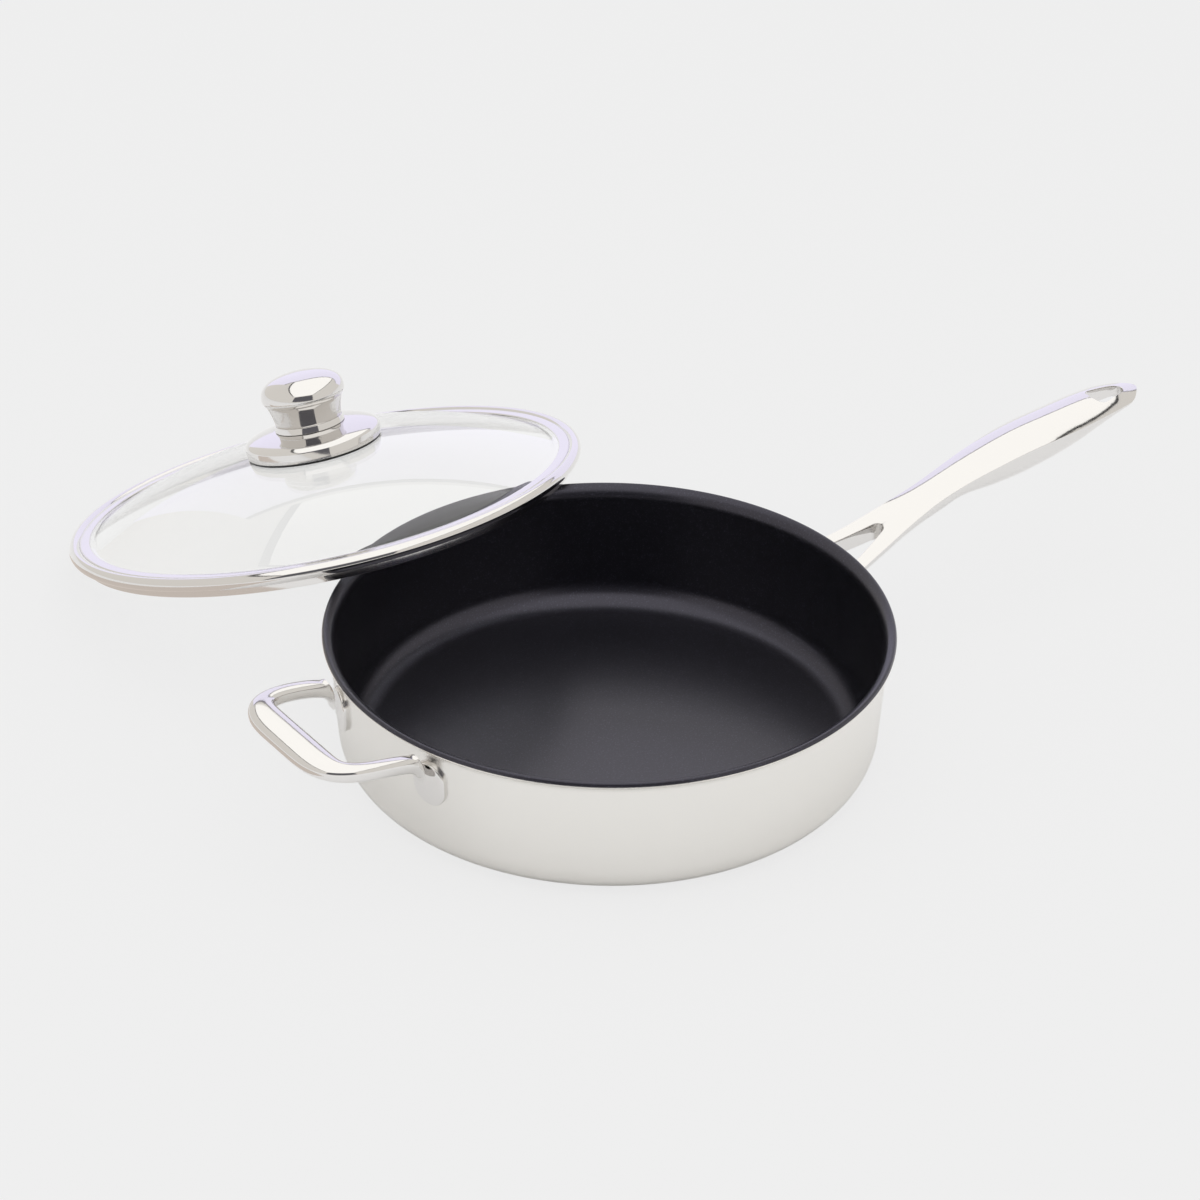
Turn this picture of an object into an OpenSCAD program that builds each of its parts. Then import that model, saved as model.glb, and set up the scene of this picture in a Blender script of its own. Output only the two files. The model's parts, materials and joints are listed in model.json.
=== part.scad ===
// Saute pan of clad steel with a non-stick lining, a long handle and a helper handle,
// and a glass lid with a vented knob that leans on the rim of the pan.
// Origin: centre of the pan's base, +Z up, +X along the long handle.

/* [Pan] */
// Outside diameter of the pouring lip
rim_d = 290; // [260:1:320]
// Height of the pan
pan_h = 72.6; // [60:0.2:90]
// Outside radius of the corner between base and wall
corner_r = 18; // [12:1:26]
// Lean of the wall from upright, in degrees
wall_draft = 3.4; // [0:0.1:6]
// Outside radius of the curl of the pouring lip
lip_r = 6; // [5:0.5:9]
// Angle through which the lip curls outwards
lip_angle = 70; // [55:1:80]

/* [Cladding] */
// Thickness of the outer steel skin
outer_t = 0.6; // [0.4:0.1:1]
// Thickness of the aluminium core
core_t = 1.6; // [1:0.1:2.4]
// Thickness of the inner steel skin
inner_t = 0.5; // [0.4:0.1:0.8]
// Thickness of the non-stick lining
lining_t = 0.3; // [0.2:0.05:0.4]

/* [Long handle] */
// Length of the long handle outwards from the pan's wall
handle_len = 216; // [180:1:230]
// Rise of the grip above the handle's root
handle_rise = 42; // [34:1:48]
// Height of the handle's top face where it meets the wall
handle_root_z = 59; // [56:1:60]
// Width across both prongs at the wall
fork_w = 41; // [38:1:46]
// Width of the neck behind the fork
neck_w = 22; // [18:1:26]
// Width of the grip
grip_w = 32; // [28:1:36]
// Thickness of the grip at its belly
grip_t = 23.5; // [18:0.5:26]
// Height of the crown of the grip's top face over its edges
grip_crown = 5; // [3:0.5:6]
// Thickness of the prongs
prong_t = 10.5; // [8:0.5:12]
// Length of the slot between the prongs, outwards from the wall
slot_len = 37; // [28:1:44]
// Width of the slot at the wall
slot_w = 28; // [20:0.5:30]
// Radius of the slot's round end
slot_end_r = 4.3; // [3:0.1:5]
// Length of the hanging hole
hang_len = 22; // [16:0.5:24]
// Width of the hanging hole at its wide end
hang_w = 15; // [10:0.5:16]
// Distance of the hanging hole from the handle's tip
hang_edge = 10.5; // [9:0.5:14]

/* [Helper handle] */
// Reach of the helper handle outwards from the pan's wall
helper_reach = 55.5; // [46:0.5:60]
// Distance between the centres of the two pads
pad_gap = 80; // [70:1:90]
// Rise of the bar above the arms' roots
helper_rise = 15.5; // [10:0.5:18]
// Widening of the loop from the pads to the bar, on each side
helper_splay = 2.4; // [0:0.2:5]
// Width of the bar
bar_w = 17.6; // [13:0.2:20]
// Width of the arms
arm_w = 8.6; // [8:0.2:11]
// Thickness of the bar and the arms
bar_t = 8; // [7:0.5:10]

/* [Pads] */
// Width of a welded pad
pad_w = 19; // [15:0.5:22]
// Height of a welded pad
pad_h = 24; // [20:0.5:28]
// Thickness of a welded pad
pad_t = 2.4; // [1.6:0.1:3]
// Height of the pads' centres above the table
pad_z = 49; // [46:0.5:51]

/* [Lid] */
// Direction of the lid from the pan, in degrees from the long handle
lid_dir = 96.6; // [80:0.2:110]
// Angle round the lid, from its high side, at which it bears on the pan's lip
bear_angle = 34.8; // [25:0.2:45]
// Outside radius of the lid's skirt
skirt_r = 137; // [125:0.5:139]
// Height of the lid's skirt below the glass
skirt_h = 6; // [4:0.5:8]
// Thickness of the steel in the lid's band
band_t = 0.8; // [0.6:0.1:1.2]
// Radius of the band's rolled bead
bead_r = 3.6; // [3:0.1:4.5]
// Width of the band's flat edge on the glass
band_hold = 4.9; // [3.5:0.1:6]
// Thickness of the glass
glass_t = 4; // [3:0.5:5]
// Rise of the glass dome above its edge
dome_rise = 28; // [20:1:36]

/* [Knob] */
// Diameter of the vent dial under the knob
dial_d = 74.5; // [66:0.5:80]
// Height of the vent dial's edge
dial_h = 5.5; // [4.5:0.1:7]
// Rise of the vent dial's domed top over its edge
dial_crown = 6.4; // [3:0.2:8]
// Diameter of the knob's collar where it meets the neck
collar_d = 37.4; // [34:0.2:38.4]
// Height of the collar
collar_h = 3.4; // [2:0.1:5]
// Spread of the collar's foot over the vent dial
collar_flare = 0.6; // [0.3:0.1:2]
// Height of the knob's neck
neck_h = 11.9; // [9:0.1:18]
// Diameter of the knob's neck under the cap
neck_top_d = 43; // [39:0.1:43.5]
// Diameter of the knob's cap
cap_d = 46.4; // [45:0.1:52]
// Height of the knob's cap
cap_h = 14.4; // [12:0.1:20]
// Diameter of the knob's solid core
core_d = 20; // [18:0.5:21]
// Diameter of the screw that holds the knob
screw_d = 4.9; // [3.9:0.1:5.9]
// Turn of the vent dial between shut and open, in degrees
vent_turn = 45; // [30:5:90]
// Diameter of the vent holes
vent_d = 4.4; // [3:0.1:6]

/* [Hidden] */

wall_t = outer_t + core_t + inner_t + lining_t;
// gap left between the lid's skirt and the pan's lip that it leans on
lean_gap = 0.3;
// running gap of the vent dial, and assembly gap between knob parts
run_gap = 0.2;
fit_gap = 0.05;
// how far a cut runs past what it cuts
over = 1;
// how far a handle is drawn into the wall before it is trimmed to it
root_depth = 6;

// lip: centre of its curl, and the wall's line that runs into it
rim_r = rim_d / 2;
lip_x = rim_r + lip_r * cos(lip_angle);
lip_z = pan_h - (lip_r + wall_t) * sin(lip_angle);
wall_top = [lip_x - lip_r * cos(wall_draft), lip_z + lip_r * sin(wall_draft)];
wall_foot_z = corner_r * (1 - sin(wall_draft));
wall_foot_x = wall_top[0] - tan(wall_draft) * (wall_top[1] - wall_foot_z);
corner_x = wall_foot_x - corner_r * cos(wall_draft);

// radius of the wall's outside at a height
function wall_r(z) = wall_foot_x + tan(wall_draft) * (z - wall_foot_z);

// Points along an arc
arc_steps = 20;
function arc(centre, r, from, to) =
    [for (k = [0 : arc_steps])
        let (a = from + (to - from) * k / arc_steps)
        centre + r * [cos(a), sin(a)]];

// The lining is turned over the lip's edge, down to the outer skin; this is the angle
// of the curl that the turned hem takes up
hem_angle = lining_t / (lip_r + outer_t) * 180 / PI;

// Half section of the surface at depth t below the pan's outer surface: a flat base,
// a round corner, a leaning wall and a lip curled up to the hem
function surface_at(t) =
    concat([[0, t]],
           arc([corner_x, corner_r], corner_r - t, -90, -wall_draft),
           arc([lip_x, lip_z], lip_r + t, 180 - wall_draft, 180 - lip_angle + hem_angle));
// The surface's last point, at the lip's edge
function edge_at(t) = [lip_x, lip_z] + (lip_r + t) * [cos(180 - lip_angle), sin(180 - lip_angle)];
function reversed(list) = [for (k = [len(list) - 1 : -1 : 0]) list[k]];

// One layer of the pan, between two depths, with the points that end it at the lip
module pan_layer(from, to, ending = []) {
    rotate_extrude($fn = 180)
        polygon(concat(surface_at(from), ending, reversed(surface_at(to))));
}

// The solid inside the wall's outer surface, to trim what is welded to the wall
module pan_body() {
    rotate_extrude($fn = 180)
        polygon(concat(surface_at(0), [edge_at(0), [0, edge_at(0)[1]]]));
}

// A thickness of metal on the outside of the wall
module wall_pad_ring(t) {
    lean = [cos(wall_draft), -sin(wall_draft)];
    foot = [corner_x, corner_r] + corner_r * lean;
    rotate_extrude($fn = 180)
        polygon([foot, wall_top, wall_top + t * lean, foot + t * lean]);
}

module outer_skin() {
    color("gainsboro") pan_layer(0, outer_t, [edge_at(0), edge_at(outer_t)]);
}

module aluminium_core() {
    color("silver") pan_layer(outer_t, outer_t + core_t);
}

module inner_skin() {
    color("lightgray") pan_layer(outer_t + core_t, wall_t - lining_t);
}

module nonstick_lining() {
    fold = surface_at(outer_t)[len(surface_at(outer_t)) - 1];
    color([0.09, 0.09, 0.1])
        pan_layer(wall_t - lining_t, wall_t, [fold, edge_at(outer_t), edge_at(wall_t)]);
}

// Value of a smooth curve through [position, value] pairs at a position
function slope_at(p, i) =
    let (a = max(i - 1, 0), b = min(i + 1, len(p) - 1))
    (p[b][1] - p[a][1]) / (p[b][0] - p[a][0]);
function span_of(p, x, i = 0) = i >= len(p) - 2 || x <= p[i + 1][0] ? i : span_of(p, x, i + 1);
function curve(p, x) =
    let (i = span_of(p, x), w = p[i + 1][0] - p[i][0], s = (x - p[i][0]) / w,
         m0 = slope_at(p, i) * w, m1 = slope_at(p, i + 1) * w)
    (2 * s^3 - 3 * s^2 + 1) * p[i][1] + (s^3 - 2 * s^2 + s) * m0
    + (3 * s^2 - 2 * s^3) * p[i + 1][1] + (s^3 - s^2) * m1;

// Point of a rounded box section, with half width a and half height b
function signed_pow(v, e) = sign(v) * pow(abs(v), e);
function section_point(a, b, angle, power) =
    [a * signed_pow(cos(angle), 2 / power), b * signed_pow(sin(angle), 2 / power)];

// Closed skin over rings of points that all have the same count
module skin(rings) {
    n = len(rings[0]);
    last = len(rings) - 1;
    sides = [for (k = [0 : last - 1], i = [0 : n - 1])
        let (a = k * n + i, b = k * n + (i + 1) % n, c = b + n, d = a + n)
        each [[a, c, b], [a, d, c]]];
    start = [for (i = [1 : n - 2]) [0, i, i + 1]];
    end = [for (i = [1 : n - 2]) [last * n, last * n + i + 1, last * n + i]];
    polyhedron([for (r = rings) each r], concat(sides, start, end));
}

// Oval pad, square to the wall's cone, on the wall in direction -X or +X
module pad(side, y) {
    turn = atan2(y, side * sqrt(wall_r(pad_z)^2 - y * y));
    intersection() {
        wall_pad_ring(pad_t);
        rotate([0, 0, turn])
            translate([wall_r(pad_z) - root_depth, 0, pad_z])
                rotate([90, 0, 90])
                    linear_extrude(2 * root_depth)
                        union() {
                            for (s = [-1, 1])
                                translate([0, s * (pad_h - pad_w) / 2]) circle(d = pad_w, $fn = 48);
                            square([pad_w, pad_h - pad_w], center = true);
                        }
    }
}

// Long handle: its outline along its length, as shares of the handle's length
handle_root_x = wall_r(handle_root_z) - root_depth;
handle_tip_x = wall_r(handle_root_z) + handle_len;
function along(s) = wall_r(handle_root_z) + handle_len * s;
handle_half = [[handle_root_x, fork_w / 2 + 1], [along(0), fork_w / 2], [along(0.12), fork_w * 0.38],
               [along(0.28), neck_w / 2 + 0.4], [along(0.36), neck_w / 2 + 0.3],
               [along(0.52), grip_w * 0.44], [along(0.7), grip_w / 2],
               [along(0.86), grip_w * 0.465], [along(0.95), grip_w * 0.37],
               [handle_tip_x, grip_w * 0.2]];
handle_top = [[handle_root_x, handle_root_z - 1.5], [along(0), handle_root_z],
              [along(0.12), handle_root_z + handle_rise * 0.19],
              [along(0.28), handle_root_z + handle_rise * 0.48],
              [along(0.44), handle_root_z + handle_rise * 0.75],
              [along(0.6), handle_root_z + handle_rise * 0.94],
              [along(0.74), handle_root_z + handle_rise * 1.02],
              [along(0.9), handle_root_z + handle_rise * 1.06],
              [handle_tip_x, handle_root_z + handle_rise]];
handle_thick = [[handle_root_x, prong_t], [along(0.2), prong_t], [along(0.33), grip_t * 0.58],
                [along(0.39), grip_t * 0.57], [along(0.5), grip_t * 0.86], [along(0.61), grip_t],
                [along(0.75), grip_t * 0.85], [along(0.88), grip_t * 0.46], [handle_tip_x, grip_t * 0.16]];
// share of the crown along the handle: the prongs are nearly flat on top
crown_share = [[handle_root_x, 0.22], [along(0.18), 0.26], [along(0.36), 0.9], [along(0.5), 1],
               [handle_tip_x, 1]];
handle_rings = 56;

// Half width and thickness are drawn in round the tip
tip_round = 16;
function tip_share(x) = x < handle_tip_x - tip_round ? 1
    : sqrt(max(0.01, 1 - pow((x - handle_tip_x + tip_round) / tip_round, 2)));

// Section of the handle: a crowned top face that meets a deep round belly in an edge
belly_power = 2.3;
top_sides = 10;
belly_sides = 18;
function handle_ring(x) =
    let (a = max(0.8, curve(handle_half, x) * tip_share(x)),
         t = max(1, curve(handle_thick, x)),
         crown = min(grip_crown * pow(min(1, 2 * a / grip_w), 2), 0.42 * t) * curve(crown_share, x),
         top = curve(handle_top, x))
    concat([for (i = [0 : top_sides])
               let (w = 1 - 2 * i / top_sides)
               [x, a * w, top - crown * w * w]],
           [for (i = [1 : belly_sides - 1])
               let (q = section_point(a, t - crown, 180 + 180 * i / belly_sides, belly_power))
               [x, q[0], top - crown + q[1]]]);

// Rings stand closer together towards the tip
function handle_x(k) = handle_root_x + (handle_tip_x - handle_root_x) * sin(90 * k / handle_rings);

// Slot between the prongs: a wedge with a round end
slot_end_x = along(0) + slot_len - slot_end_r;
slot_slant = asin((slot_w / 2 - slot_end_r) / (slot_len - slot_end_r));
cut_top = handle_root_z + handle_rise + 20;
module fork_slot() {
    mouth = [along(0) - 2 * root_depth, slot_w / 2 + 2 * root_depth * tan(slot_slant)];
    touch = [slot_end_x + slot_end_r * sin(slot_slant), slot_end_r * cos(slot_slant)];
    linear_extrude(cut_top)
        union() {
            translate([slot_end_x, 0]) circle(r = slot_end_r, $fn = 48);
            polygon([mouth, touch, [touch[0], -touch[1]], [mouth[0], -mouth[1]]]);
        }
}

// Hanging hole: wide towards the grip and narrow towards the tip
hang_far_r = hang_w * 0.3;
hang_near_r = hang_w * 0.28;
module hang_hole() {
    far_x = handle_tip_x - hang_edge - hang_far_r;
    near_x = handle_tip_x - hang_edge - hang_len + hang_near_r;
    near_y = hang_w / 2 - hang_near_r;
    linear_extrude(cut_top)
        hull() {
            translate([far_x, 0]) circle(r = hang_far_r, $fn = 32);
            for (s = [-1, 1])
                translate([near_x, s * near_y]) circle(r = hang_near_r, $fn = 32);
        }
}

module long_handle() {
    color("gainsboro") {
        difference() {
            skin([for (k = [0 : handle_rings]) handle_ring(handle_x(k))]);
            pan_body();
            fork_slot();
            hang_hole();
        }
        for (s = [-1, 1]) pad(1, s * (fork_w + slot_w) / 4);
    }
}

// Helper handle: arms square to the wall that turn into a flat bar
helper_power = 4.8;
helper_rings = 96;
// the arms' section, and how soon the bar's full width and rise are reached
arm_power = 2.8;
arm_sides = 28;
widening = 10;
rising = 0.3;
arm_z = pad_z + pad_h / 2 - bar_t / 2 - 1;
helper_start_x = wall_r(arm_z) - root_depth;
helper_span = helper_reach + root_depth - bar_w / 2;
function helper_out(t) = signed_pow(cos(t), 2 / helper_power);
function helper_side(t) = signed_pow(sin(t), 2 / helper_power);
// the arms rise steeply from the wall, and level out towards the bar
root_share = root_depth / helper_span;
function helper_lift(out) = pow(max(0, out - root_share) / (1 - root_share), rising);
function helper_mid(t) =
    [-helper_start_x - helper_span * helper_out(t),
     (pad_gap / 2 + helper_splay * helper_out(t)) * helper_side(t),
     arm_z + helper_rise * helper_lift(helper_out(t))];
// a steep section is cut taller, so that the arm keeps its thickness
steep_most = 1.5;
function helper_ring(t) =
    let (m = helper_mid(t), d = helper_mid(min(90, t + 0.5)) - helper_mid(max(-90, t - 0.5)),
         run = norm([d[0], d[1]]),
         a = (arm_w + (bar_w - arm_w) * pow(helper_out(t), widening)) / 2,
         b = bar_t / 2 * min(steep_most, norm(d) / run))
    [for (i = [0 : arm_sides - 1])
        let (q = section_point(a, b, 360 * i / arm_sides, arm_power))
        [m[0] - d[1] / run * q[0], m[1] + d[0] / run * q[0], m[2] + q[1]]];
function helper_turn(k) = 90 * sin(180 * k / helper_rings - 90);

module helper_handle() {
    color("gainsboro") {
        difference() {
            skin([for (k = [0 : helper_rings]) helper_ring(helper_turn(k))]);
            pan_body();
        }
        for (s = [-1, 1]) pad(-1, s * pad_gap / 2);
    }
}

// Lid: its place, from the height of the lip and the place round the lid that bears on it
lean_z = pan_h + lean_gap;
lid_tilt = asin(lean_z / (skirt_r * (1 + cos(bear_angle))));
lid_z = skirt_r * sin(lid_tilt);
bear_along = skirt_r * cos(bear_angle) * cos(lid_tilt);
bear_across = skirt_r * sin(bear_angle);
lid_dist = bear_along + sqrt(rim_r^2 - bear_across^2);

module on_lid() {
    rotate([0, 0, lid_dir])
        translate([lid_dist, 0, lid_z])
            rotate([0, lid_tilt, 0])
                children();
}

module turned() {
    rotate_extrude($fn = 180) children();
}

// Glass dome: heights above the skirt's lower edge
glass_edge_gap = 0.3;
glass_r = skirt_r - band_t - glass_edge_gap;
glass_z = skirt_h;
glass_edge_z = glass_z + glass_t;
// the flat edge of the glass runs a little further in than the band that holds it
flat_edge = 1.5;
dome_foot_r = skirt_r - band_t - band_hold;
dome_edge_r = dome_foot_r - flat_edge / 3;
dome_r = (dome_edge_r^2 + dome_rise^2) / (2 * dome_rise);
dome_top = glass_edge_z + dome_rise;
dome_z0 = dome_top - dome_r;
dome_fn = 360;

// Half section of a shell on the dome, between two heights above the glass's top
module dome_shell(low, high, r_in, r_out) {
    intersection() {
        translate([0, dome_z0])
            difference() {
                circle(r = dome_r + high, $fn = dome_fn);
                circle(r = dome_r + low, $fn = dome_fn);
            }
        translate([r_in, glass_z]) square([r_out - r_in, dome_top]);
    }
}
function dome_at(r, lift) = dome_z0 + sqrt((dome_r + lift)^2 - r * r);

vent_r = dial_d / 2 * 0.66;
vent_dir = -45;
module vent_hole(angle, low, high) {
    rotate([0, 0, angle]) translate([vent_r, 0, low]) cylinder(d = vent_d, h = high - low, $fn = 48);
}

shank_hole_r = screw_d / 2 + 0.7;
module lid_glass() {
    color([0.85, 0.9, 0.9, 0.4])
        on_lid()
            difference() {
                turned()
                    union() {
                        dome_shell(-glass_t, 0, shank_hole_r, dome_foot_r);
                        translate([dome_foot_r - flat_edge, glass_z])
                            square([glass_r - dome_foot_r + flat_edge, glass_t]);
                    }
                vent_hole(vent_dir + vent_turn, glass_z, dome_top + over);
            }
}

bead_x = skirt_r + bead_r - band_t;
bead_z = glass_z + glass_t / 2;
// the band's lip under the glass starts this much further out than its edge on top
under_hold = 0.8;
module rim_band() {
    color("gainsboro")
        on_lid()
            turned()
                difference() {
                    union() {
                        translate([skirt_r - band_t, 0])
                            square([band_t, glass_edge_z + band_t]);
                        translate([skirt_r - band_t - band_hold, glass_edge_z])
                            square([band_hold + band_t, band_t]);
                        translate([skirt_r - band_t - band_hold + under_hold, glass_z - band_t])
                            square([band_hold, band_t]);
                        translate([bead_x, bead_z]) circle(r = bead_r, $fn = 48);
                    }
                    translate([bead_x, bead_z]) circle(r = bead_r - band_t, $fn = 48);
                }
}

// Knob: the dial turns on the core, between the seal on the glass and the collar
dial_r = dial_d / 2;
seal_t = 0.9;
dial_lift = seal_t + run_gap;
dial_base = dome_at(dial_r, dial_lift);
// the hub under the collar
hub_r = collar_d / 2 - 5;
// the domed top ends in a flat landing, a little wider than the collar's foot
foot_r = collar_d / 2 + collar_flare;
landing_r = foot_r + 0.4;
landing_angle = acos(landing_r / dial_r);
dial_top = dial_base + dial_h + dial_crown * sin(landing_angle);
wave_h = 0.8;
wave_room = 0.4;
collar_base = dial_top + run_gap;
neck_base = collar_base + collar_h;
cap_base = neck_base + neck_h;

module vent_seal() {
    color([0.12, 0.12, 0.13])
        on_lid()
            difference() {
                turned() dome_shell(0, seal_t, hub_r + 2 * over, dial_r - over / 2);
                vent_hole(vent_dir + vent_turn, glass_z, dome_top + over);
            }
}

wave_r = hub_r + 2;
dial_points = 28;
// Half section of the dial: an upright edge, a domed top and an underside that fits the glass
module dial_section() {
    bore = hub_r + run_gap;
    dome = [for (k = [0 : dial_points])
        let (a = landing_angle * k / dial_points)
        [dial_r * cos(a), dial_base + dial_h + dial_crown * sin(a)]];
    difference() {
        polygon(concat([[bore, 0], [dial_r, 0]], dome, [[bore, dial_top]]));
        translate([0, dome_z0]) circle(r = dome_r + dial_lift, $fn = 360);
        translate([0, dial_top - wave_h - run_gap - wave_room])
            square([wave_r + wave_room, wave_h + over]);
    }
}

module vent_dial() {
    color("gainsboro")
        on_lid()
            difference() {
                turned() dial_section();
                vent_hole(vent_dir, glass_z, dial_top + over);
            }
}

module wave_washer() {
    color("silver")
        on_lid()
            translate([0, 0, collar_base - wave_h])
                difference() {
                    cylinder(r = wave_r, h = wave_h, $fn = 96);
                    translate([0, 0, -over])
                        cylinder(r = hub_r + fit_gap, h = wave_h + 2 * over, $fn = 96);
                }
}

core_r = core_d / 2;
// height of the upright edge round the collar's foot
collar_edge = 0.4;
module knob_collar() {
    color("gainsboro")
        on_lid()
            turned()
                polygon([[core_r + fit_gap, collar_base], [foot_r, collar_base],
                         [foot_r, collar_base + collar_edge], [collar_d / 2, neck_base],
                         [core_r + fit_gap, neck_base]]);
}

// Neck: a slightly hollow barrel that widens towards the cap
neck_hollow = 0.45;
neck_step = 0.2;
module knob_neck() {
    low_r = collar_d / 2 - neck_step;
    top_r = neck_top_d / 2;
    chord = norm([top_r - low_r, neck_h]);
    hollow_r = (chord^2 / 4 + neck_hollow^2) / (2 * neck_hollow);
    mid = [(low_r + top_r) / 2, neck_base + neck_h / 2];
    out = [neck_h, low_r - top_r] / chord;
    color("gainsboro")
        on_lid()
            turned()
                difference() {
                    polygon([[core_r + fit_gap, neck_base], [low_r, neck_base],
                             [top_r, cap_base], [core_r + fit_gap, cap_base]]);
                    translate(mid + out * (hollow_r - neck_hollow)) circle(r = hollow_r, $fn = 180);
                }
}

// Cap: it flares out from the neck to a round shoulder under a flat dome
cap_points = 24;
cap_shoulder = 0.22;
cap_power = 2.5;
core_into_cap = 3;
module knob_cap() {
    flare = acos(neck_top_d / cap_d);
    low_h = cap_h * cap_shoulder;
    low = [for (k = [0 : 5])
        let (a = -flare * (1 - k / 5))
        [cap_d / 2 * cos(a), cap_base + low_h * (1 + sin(a) / sin(flare))]];
    high = [for (k = [1 : cap_points])
        let (q = section_point(cap_d / 2, cap_h - low_h, 90 * k / cap_points, cap_power))
        [max(0, q[0]), cap_base + low_h + q[1]]];
    color("gainsboro")
        on_lid()
            difference() {
                turned() polygon(concat([[0, cap_base]], low, high));
                translate([0, 0, cap_base - over])
                    cylinder(r = core_r + fit_gap, h = core_into_cap + over + fit_gap, $fn = 96);
            }
}

// Core: a pillar that carries the collar, neck and cap, with a threaded insert in its bore
insert_wall = 1.8;
insert_r = screw_d / 2 + insert_wall;
insert_z = neck_base + 1;
insert_h = min(12, neck_h);
seat_t = 1;
screw_gap = 0.3;
core_foot = dome_top + seat_t;
module knob_core() {
    color("silver")
        on_lid()
            difference() {
                union() {
                    translate([0, 0, core_foot])
                        cylinder(r = core_r, h = cap_base + core_into_cap - core_foot, $fn = 96);
                    translate([0, 0, core_foot])
                        cylinder(r = hub_r, h = collar_base - core_foot, $fn = 96);
                }
                translate([0, 0, core_foot - over])
                    cylinder(r = screw_d / 2 + screw_gap, h = insert_z - core_foot + 2 * over, $fn = 48);
                translate([0, 0, insert_z]) cylinder(r = insert_r, h = insert_h + over, $fn = 48);
            }
}

module thread_insert() {
    color("goldenrod")
        on_lid()
            translate([0, 0, insert_z])
                difference() {
                    cylinder(r = insert_r - fit_gap, h = insert_h, $fn = 48);
                    translate([0, 0, -over])
                        cylinder(r = screw_d / 2 + fit_gap, h = insert_h + 2 * over, $fn = 48);
                }
}

module seat_seal() {
    color([0.12, 0.12, 0.13])
        on_lid()
            turned() dome_shell(0, seat_t, shank_hole_r, hub_r);
}

// Stack under the glass: soft seal, cup washer, lock washer and screw head
under_t = 1.2;
cup_t = 1;
lock_t = 1;
head_h = 3;
cup_r = 11;
lock_r = screw_d / 2 + 2.8;
socket_r = 2.3;
socket_depth = 1.8;
lock_top = dome_top - glass_t - under_t - cup_t - fit_gap;
module under_seal() {
    color([0.12, 0.12, 0.13])
        on_lid()
            turned() dome_shell(-glass_t - under_t, -glass_t - fit_gap, shank_hole_r, cup_r + over);
}

module cup_washer() {
    color("gainsboro")
        on_lid()
            turned() dome_shell(-glass_t - under_t - cup_t, -glass_t - under_t, shank_hole_r, cup_r);
}

module lock_washer() {
    color("silver")
        on_lid()
            translate([0, 0, lock_top - lock_t])
                difference() {
                    cylinder(r = lock_r, h = lock_t, $fn = 64);
                    translate([0, 0, -over])
                        cylinder(r = screw_d / 2 + screw_gap, h = lock_t + 2 * over, $fn = 64);
                }
}

module lid_screw() {
    head_z = lock_top - lock_t - head_h;
    tip_z = insert_z + insert_h - over;
    color("gainsboro")
        on_lid()
            difference() {
                union() {
                    translate([0, 0, head_z]) cylinder(r = lock_r, h = head_h, $fn = 64);
                    translate([0, 0, head_z])
                        cylinder(r = screw_d / 2, h = tip_z - head_z, $fn = 48);
                }
                translate([0, 0, head_z - over])
                    cylinder(r = socket_r, h = socket_depth + over, $fn = 6);
            }
}

outer_skin();
aluminium_core();
inner_skin();
nonstick_lining();
long_handle();
helper_handle();
lid_glass();
rim_band();
vent_seal();
vent_dial();
wave_washer();
knob_collar();
knob_neck();
knob_cap();
knob_core();
thread_insert();
lid_screw();
lock_washer();
cup_washer();
under_seal();
seat_seal();
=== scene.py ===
"""Looks, studio and camera for the saute pan and its glass lid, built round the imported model.

Sizes are in millimetres, heights on the lid count from the skirt's lower edge, and every
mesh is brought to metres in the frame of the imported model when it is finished.
"""

import json
import logging
import math
from collections.abc import Callable, Sequence
from dataclasses import dataclass, field
from enum import Enum
from functools import cached_property
from typing import ClassVar

import bmesh
import bpy
from mathutils import Matrix, Vector


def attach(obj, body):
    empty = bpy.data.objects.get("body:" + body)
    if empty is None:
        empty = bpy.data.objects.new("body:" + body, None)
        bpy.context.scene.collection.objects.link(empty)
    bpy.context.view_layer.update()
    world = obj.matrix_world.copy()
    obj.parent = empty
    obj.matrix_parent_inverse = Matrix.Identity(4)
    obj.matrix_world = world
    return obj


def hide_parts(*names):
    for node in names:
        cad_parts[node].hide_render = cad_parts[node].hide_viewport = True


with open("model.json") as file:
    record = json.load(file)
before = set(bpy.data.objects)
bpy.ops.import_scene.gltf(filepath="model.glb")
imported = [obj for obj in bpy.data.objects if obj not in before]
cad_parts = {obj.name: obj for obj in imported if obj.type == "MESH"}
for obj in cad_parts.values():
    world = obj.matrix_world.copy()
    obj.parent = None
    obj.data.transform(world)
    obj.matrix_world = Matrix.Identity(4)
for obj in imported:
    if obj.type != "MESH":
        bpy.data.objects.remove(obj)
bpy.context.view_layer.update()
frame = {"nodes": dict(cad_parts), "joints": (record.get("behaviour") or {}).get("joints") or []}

log = logging.getLogger("saute_pan")

MM = 0.001
MERGE_MM = 1e-4
ZERO_MM = 1e-5
ROUND_STEPS = 240
CORNER_STEP = 12
SHARP_ANGLE = math.radians(38)
VIEW_AZIMUTH = -36.1
PRINCIPLED = "ShaderNodeBsdfPrincipled"
AT_ORIGIN = Matrix.Identity(4)

Point = tuple[float, float]
Profile = Sequence[Point]
Spot = tuple[float, float, float]
Tree = bpy.types.NodeTree
Socket = bpy.types.NodeSocket
Material = bpy.types.Material
Mesh = bmesh.types.BMesh
Piece = bpy.types.Object


class Body(Enum):
    """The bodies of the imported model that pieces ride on."""

    PAN = "pan"
    LID = "lid"
    DIAL = "dial"


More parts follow.
